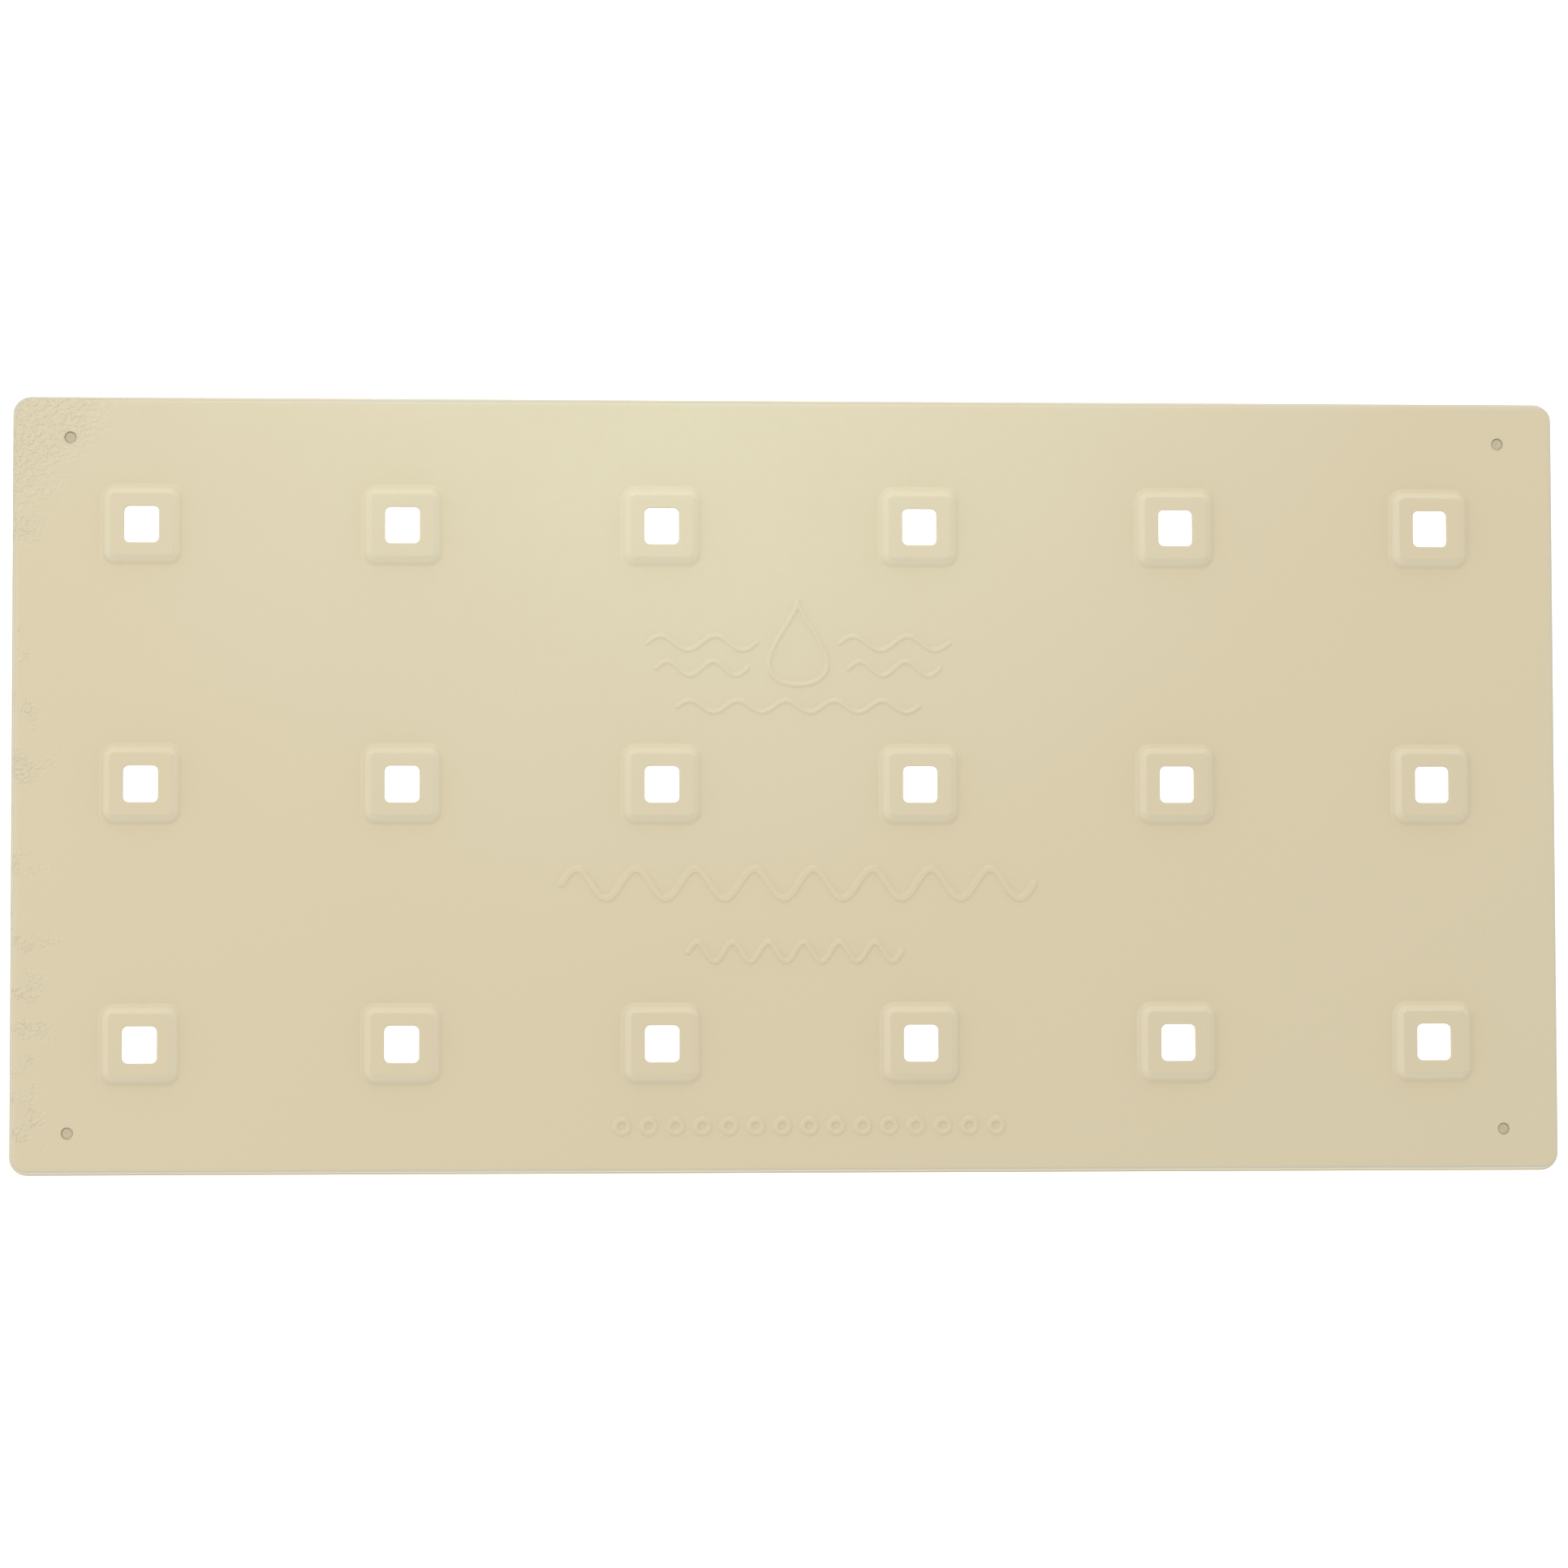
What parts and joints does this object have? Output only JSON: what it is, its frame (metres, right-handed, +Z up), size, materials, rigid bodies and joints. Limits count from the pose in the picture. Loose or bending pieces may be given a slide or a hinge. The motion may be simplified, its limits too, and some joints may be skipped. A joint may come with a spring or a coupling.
{
  "type": "hydroponic raft board for plant plugs",
  "caption": "Flat hollow raft board of cream plastic with a grid of square plug holes in raised collars, rounded corners and plugged ports near the corners.",
  "frame": {"origin": "middle of the underside, on the plane that the board lies on", "axes": "+X along the board, +Y across it, +Z up out of the deck"},
  "size_m": [1.2192, 0.6096, 0.038],
  "materials": {
    "upper_sheet": "cream polyethylene sheet, semi-matte, finely pebbled",
    "lower_sheet": "cream polyethylene sheet, semi-matte, smoother than the deck",
    "port_plug": "cream polyethylene push-in plug, matte"
  },
  "bodies": {
    "root": {"upper_skin": "upper_sheet", "lower_skin": "lower_sheet", "port_plug_front_left": "port_plug", "port_plug_front_right": "port_plug", "port_plug_back_left": "port_plug", "port_plug_back_right": "port_plug"}
  },
  "joints": []
}
